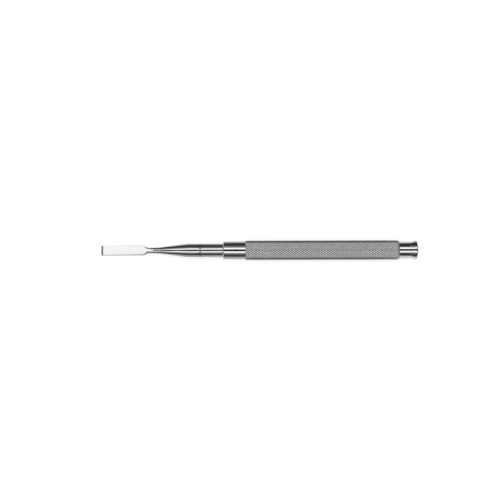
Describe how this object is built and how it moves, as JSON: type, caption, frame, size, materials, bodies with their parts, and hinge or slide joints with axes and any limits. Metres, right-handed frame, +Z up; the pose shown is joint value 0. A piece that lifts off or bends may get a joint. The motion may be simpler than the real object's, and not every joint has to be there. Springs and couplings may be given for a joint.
{
  "type": "bone chisel",
  "caption": "Slim solid bone chisel: flat bevelled blade, tapered neck, ringed shank, polished collar, diamond-knurled round grip and flared striking head.",
  "frame": {"origin": "under the middle of the chisel's length, on the surface that it lies on", "axes": "+X along the chisel's axis from the cutting edge to the striking head, +Z up, square to the blade's flat"},
  "size_m": [0.165, 0.01, 0.01],
  "materials": {
    "stainless_steel": "polished turned surfaces, satin ground blade, knurled grip"
  },
  "bodies": {
    "root": {"bone_chisel": "stainless_steel"}
  },
  "joints": []
}
